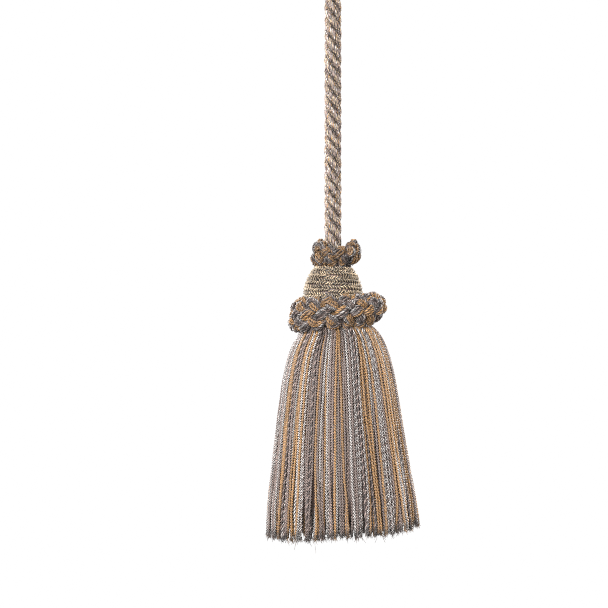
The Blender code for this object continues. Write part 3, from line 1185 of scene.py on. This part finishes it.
    def _lines(self, chosen: Array, rings: int) -> Array:
        """The middles of some cords.

        Args:
            chosen: the cords' numbers.
            rings: how many points each line has.

        Returns:
            Cords by points by 3.
        """
        last = self.settled[-1, chosen]
        turn = np.arctan2(last[:, 1], last[:, 0])
        hem = np.interp(turn, self.bearings, self.hem, period=2 * np.pi)
        ends = hem + (self.rng.uniform(*self.hem_lift, len(chosen)) + self.hem_slope * np.cos(turn)) * MM
        top = self.heights[0]
        share = np.linspace(0, 1, rings)
        z = top + (ends[:, None] - top) * share
        level = (self.heights[0] - z) / (self.heights[0] - self.heights[-1]) * (self.levels - 1)
        level = np.clip(level, 0, self.levels - 1.001)
        base = level.astype(int)
        part = (level - base)[..., None]
        cord = chosen[:, None]
        flat = self.settled[base, cord] * (1 - part) + self.settled[base + 1, cord] * part
        centre = np.interp(level, np.arange(self.levels), self.centres)
        late = (share**self.swing_power)[None, :, None]
        swing = self.rng.standard_normal((len(chosen), 1, 2)) * self.swing * late
        ripple = self.ripple * np.sin(share * self.ripples + self.rng.uniform(0, ANY_START, (len(chosen), 1)))
        points = np.concatenate([flat + swing, z[..., None]], axis=-1)
        points[..., 0] += centre + ripple
        return points

    def build(self) -> list[Piece]:
        """Makes one piece for each lock of cords with its frayed ends, and one for the filling.

        Returns:
            The pieces.
        """
        self.settled = self.settle()
        lock_of = (self.turn % (2 * np.pi) / (2 * np.pi) * self.locks).astype(int)
        pieces = []
        for lock in range(self.locks):
            skein = Skein(f"skirt_lock_{lock + 1:02d}", "skirt", "skirt", self.dyehouse)
            for is_outer, layer in ((True, self.outer_layer), (False, self.inner_layer)):
                here = np.flatnonzero((lock_of == lock) & (self.outer == is_outer))
                for kind in CordKind:
                    chosen = np.array([cord for cord in here if self.kinds[cord] is kind])
                    if len(chosen):
                        self._cords(skein, chosen, kind, layer)
            pieces.append(skein.wind())
        return [*pieces, self._filling()]

    def _filling(self) -> Piece:
        """Makes the cords inside: an umber form that stands for the packed bundle as painted shade, and the
        cut ends that show from below.

        Returns:
            The piece.
        """
        skein = Skein("skirt_filling", "skirt", "skirt", self.dyehouse)
        rows = np.arange(1, self.levels - 3, 4)
        radius = self.reaches[rows] - self.fill
        form = turned(radius, self.bearings, self.heights[rows][:, None], self.centres[rows][:, None])
        # painted shade: the filling is umber and darkened further
        skein.add(form, plain_outline(Yarn.UMBER, self.bell_sides, groove_shade=0.8))
        number = np.arange(self.stubs)
        turn = number * math.pi * (3 - math.sqrt(5))  # the angle that spaces them evenly
        far = np.sqrt((number + 0.5) / self.stubs) * (radius[-1].min() - self.radius)
        place = np.stack([far * np.cos(turn) + self.centres[-1], far * np.sin(turn)], -1)
        slope = 2 * (self.hem * np.cos(self.bearings)).mean() / self.reaches[-1].mean()
        low = self.hem.mean() + slope * place[:, 0] + self.rng.uniform(*self.stub_lift, self.stubs) * MM
        height = np.linspace(self.heights[rows[-1]] + 1 * MM, low, self.stub_rings)
        place = np.broadcast_to(place, (self.stub_rings, self.stubs, 2))
        points = np.concatenate([place, height[..., None]], -1)
        kinds = [self.kinds[cord] for cord in self.rng.choice(len(self.kinds), self.stubs)]
        for kind in CordKind:
            some = np.array([stub is kind for stub in kinds])
            if some.any():
                line = points.swapaxes(0, 1)[some]
                self._twist(skein, line, kind, self.lead * self.stub_slow, self.stub_shaded_tone)
        return skein.wind()

    def _twist(
        self, skein: Skein, points: Array, kind: CordKind, lead: Array | float, tone: Array | float
    ) -> None:
        """Sweeps a kind's three plies along some lines, opened out a little at the cut ends.

        Args:
            skein: where the cords go.
            points: the cords' middles.
            kind: their kind.
            lead: the length of one turn.
            tone: how light they are.
        """
        far = travelled(points)
        left = far[:, -1:] - far
        outline = kind.outline()
        start = self.rng.uniform(0, 2 * np.pi, (len(points), 1))
        turns = outline.turns() + (start + 2 * np.pi * far / lead)[..., None]
        opened = 1 + self.flare * np.clip(1 - left / self.flare_run, 0, 1)
        reaches = outline.reaches() * (self.radius * opened)[..., None]
        outward = np.broadcast_to(FRONT, points.shape)
        shift = self.rng.uniform(0, MAP_REACH, (len(points), 2))
        skein.add(sweep(points, outward, turns, reaches), outline, tone=tone, shift=shift)

    def _cords(self, skein: Skein, chosen: Array, kind: CordKind, layer: Layer) -> None:
        """Adds some cords of one kind to a lock.

        Args:
            skein: the lock.
            chosen: the cords' numbers.
            kind: the cords' kind.
            layer: how their layer is made.
        """
        points = self._lines(chosen, layer.rings)
        count = len(chosen)
        far = travelled(points)
        left = far[:, -1:] - far
        # darker towards the cut end, and painted shadow at the top under the collar
        end_darkening = self.end_darkening * np.clip(1 - left / (self.rng.uniform(*self.end_darkening_run, (count, 1)) * MM), 0, 1)
        collar_shadow = self.collar_shadow * np.exp(-far / self.collar_shadow_run)
        tone = self.rng.uniform(*self.tones, (count, 1)) * (1 - end_darkening) * (1 - collar_shadow)
        lead = self.lead * self.rng.uniform(*self.uneven, (count, 1)) * layer.slow
        self._twist(skein, points, kind, lead, tone[..., None] * layer.light)
        for line in points:
            self._fray(skein, line, kind, layer.fibres)

    def _fray(self, skein: Skein, line: Array, kind: CordKind, fibres: int) -> None:
        """Adds the loose fibres at a cord's cut end.

        Args:
            skein: the lock.
            line: the cord's middle.
            kind: the cord's kind.
            fibres: how many fibres there are.
        """
        rng = self.rng
        down = unit(line[-1] - line[-3])
        splay = unit(down + rng.standard_normal((fibres, 3)) * self.fibre_splay)
        curl = rng.standard_normal((fibres, 3)) * self.fibre_curl
        stray = np.where(rng.random((fibres, 1)) < self.strays[0], self.strays[1], 1.0)
        long = rng.uniform(*self.fibre_long, (fibres, 1)) * MM * stray
        start = line[-2] + rng.standard_normal((fibres, 3)) * self.fibre_root
        share = np.linspace(0, 1, 3)[None, :, None]
        points = start[:, None] + (splay[:, None] * share + curl[:, None] * share**2) * long[:, None]
        outline = plain_outline(kind.value.yarns[int(rng.integers(3))], 3)
        turns = np.broadcast_to(outline.turns(), (fibres, 3, 3))
        reaches = (np.array(self.fibre_radii) * MM)[None, :, None] * np.ones((fibres, 3, 3))
        side = np.broadcast_to(np.array([1.0, 0.0, 0.0]), points.shape)
        skein.add(sweep(points, side, turns, reaches), outline, tone=float(rng.uniform(*self.fibre_tones)))


# --- The studio ---


@dataclass(frozen=True)
class Lamp:
    """One soft square light."""

    name: str
    place: Point
    size: float  # metres along a side
    power: float  # watts


@dataclass
class Studio:
    """A plain pale floor far below, soft light, and a level camera in front."""

    distance: float = 0.98
    across: float = 0.3089  # width of the view at the tassel
    sensor: float = 36.0
    look_at: tuple[float, float] = (-0.0147, -0.2424)  # x and z in the middle of the view
    floor_drop: float = 1.7
    floor_radius: float = 3.2
    floor_sides: int = 64
    room_light: float = 0.38
    aim: Vector = Vector((0.0, 0.0, -0.28)).freeze()  # where the lamps face
    lamps: tuple[Lamp, ...] = (
        Lamp("key", (-0.45, -1.3, 0.3), 0.6, 62.0),
        Lamp("fill", (1.2, -1.1, -0.1), 1.0, 9.0),
        Lamp("front", (0.0, -1.9, -0.4), 0.7, 24.0),
        Lamp("back_left", (-1.3, 1.2, 0.3), 0.8, 50.0),
        Lamp("back_right", (1.3, 1.2, 0.3), 0.8, 50.0),
    )

    def build(self) -> None:
        """Makes the camera, the floor, the lights and the surroundings."""
        self._camera()
        self._floor()
        for lamp in self.lamps:
            data = bpy.data.lights.new(lamp.name, "AREA")
            data.shape, data.size, data.energy = "SQUARE", lamp.size, lamp.power
            toward = self.aim - Vector(lamp.place)
            turn = toward.to_track_quat("-Z", "Y").to_euler()
            self._place(lamp.name, data, lamp.place).rotation_euler = turn
        self._surroundings()

    def _place(self, name: str, data: bpy.types.ID, place: Point) -> Piece:
        """Adds an object to the scene.

        Args:
            name: its name.
            data: its mesh, camera or light.
            place: where it stands.

        Returns:
            The object.
        """
        thing = bpy.data.objects.new(name, data)
        thing.location = place
        bpy.context.scene.collection.objects.link(thing)
        return thing

    def _camera(self) -> None:
        """Places the camera level with the tassel, looking along +Y."""
        data = bpy.data.cameras.new("camera")
        data.sensor_width = self.sensor
        data.lens = data.sensor_width * self.distance / self.across
        data.clip_start, data.clip_end = 0.05, 50.0
        camera = self._place("camera", data, (self.look_at[0], -self.distance, self.look_at[1]))
        camera.rotation_euler = (math.pi / 2, 0.0, 0.0)
        bpy.context.scene.camera = camera

    def _floor(self) -> None:
        """Lays a round pale floor."""
        turns = [2 * math.pi * i / self.floor_sides for i in range(self.floor_sides)]
        rim = [(self.floor_radius * math.cos(a), self.floor_radius * math.sin(a), 0.0) for a in turns]
        mesh = bpy.data.meshes.new("floor")
        mesh.from_pydata(rim, [], [list(range(self.floor_sides))])
        material = bpy.data.materials.new("floor_paint")
        material.use_nodes = True
        paint = {"Base Color": (0.86, 0.86, 0.85, 1.0), "Roughness": 0.8}
        feed(material.node_tree, material.node_tree.nodes["Principled BSDF"], paint)
        mesh.materials.append(material)
        self._place("floor", mesh, (0.0, 0.0, -self.floor_drop))

    def _surroundings(self) -> None:
        """Lights the room evenly, with a white wall for the camera, and keeps the plies crisp."""
        world = bpy.data.worlds.new("studio")
        bpy.context.scene.world = world
        world.use_nodes = True
        tree = world.node_tree
        seen = tree.nodes.new("ShaderNodeLightPath").outputs["Is Camera Ray"]
        values = {"Value": seen, "To Min": self.room_light, "To Max": 1.0}
        strength = put_node(tree, "MapRange", values).outputs[0]
        feed(tree, tree.nodes["Background"], {"Strength": strength, "Color": (1.0, 1.0, 1.0, 1.0)})
        bpy.context.scene.view_settings.view_transform = "Standard"
        bpy.context.scene.cycles.use_denoising = False  # it would smooth the plies away
        bpy.context.scene.cycles.filter_width = 1.05  # and so would a wider filter


def main() -> None:
    """Builds the tassel from the rope down, and reports each piece."""
    logging.basicConfig(level=logging.INFO, format="%(name)s: %(message)s")
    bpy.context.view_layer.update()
    Studio().build()
    dyehouse = Dyehouse()
    rope = Rope(dyehouse)
    pieces = [rope.build(), Whipping(dyehouse).build()]
    line = rope.line()
    top_ruff = Ruff(
        dyehouse, "top_ruff", plait=5, depth=3.3 * MM, wide=1.75 * MM, thick=1.3 * MM, cross=1.3 * MM,
        cord=0.62 * MM, points=190, seed=5, shift=2.1 * MM, dip=4.0 * MM, shade=0.88, start=2.1,
    )
    collar = Ruff(
        dyehouse, "collar_ruff", plait=8, depth=4.0 * MM, wide=1.8 * MM, thick=1.5 * MM, cross=1.5 * MM,
        cord=0.68 * MM, points=270, seed=8, shift=2.6 * MM, tilt=0.07, lift=0.9 * MM,
    )
    pieces += [*top_ruff.build(), Head(dyehouse).build(), *collar.build(), *Skirt(dyehouse).build()]
    for piece in pieces:
        LOG.info("%s: %d faces", piece.name, len(piece.data.polygons))


if __name__ == "__main__":
    main()
